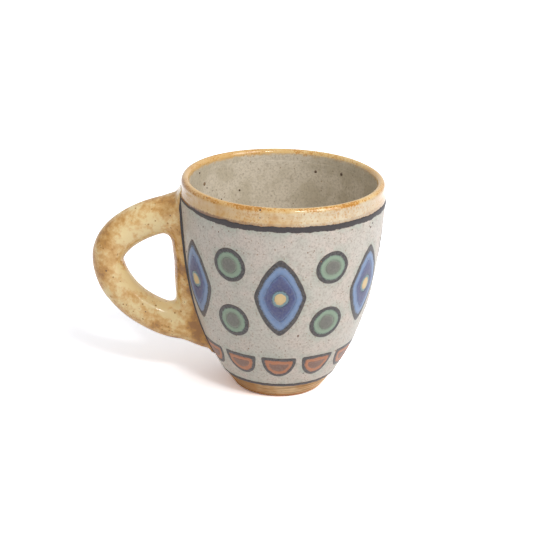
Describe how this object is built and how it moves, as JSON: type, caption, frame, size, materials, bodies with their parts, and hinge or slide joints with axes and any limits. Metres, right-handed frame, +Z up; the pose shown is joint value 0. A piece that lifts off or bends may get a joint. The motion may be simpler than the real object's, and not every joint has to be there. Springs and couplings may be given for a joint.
{
  "type": "clay mug",
  "caption": "Footed, round-bellied clay mug with a looped side handle on a backing strip and a painted frieze, for hot drinks.",
  "frame": {"origin": "centre of the foot ring, on the plane the mug stands on", "axes": "+Z up along the mug's axis, -X towards the handle, the front view looks along +Y"},
  "size_m": [0.1183, 0.083, 0.088],
  "materials": {
    "clay": "bare fired clay, dull",
    "slip": "fired joining slip, dull",
    "tan_glaze": "glossy, mottled cream to ochre with dark specks",
    "liner_glaze": "satin, speckled",
    "wall_glaze": "satin grey-white, speckled",
    "black_line": "satin brushed line",
    "light_blue": "satin underglaze colour",
    "dark_blue": "satin underglaze colour",
    "teal": "satin underglaze colour",
    "cream": "satin underglaze colour",
    "sage_green": "satin underglaze colour",
    "warm_grey": "satin underglaze colour",
    "terracotta": "satin underglaze colour",
    "brown": "satin underglaze colour"
  },
  "bodies": {
    "root": {"clay_body": "clay", "luting_slip": "slip", "handle": "tan_glaze", "handle_backing": "tan_glaze", "liner_glaze": "liner_glaze", "rim_glaze": "tan_glaze", "wall_glaze": "wall_glaze", "upper_line": "black_line", "foot_line": "black_line", "panel_lines": "black_line", "diamond_outlines": "black_line", "diamond_fields": "light_blue", "diamond_cores": "dark_blue", "diamond_rings": "teal", "diamond_dots": "cream", "disc_outlines": "black_line", "disc_fields": "sage_green", "disc_cores": "warm_grey", "half_moon_outlines": "black_line", "half_moon_fields": "terracotta", "half_moon_cores": "brown"}
  },
  "joints": []
}
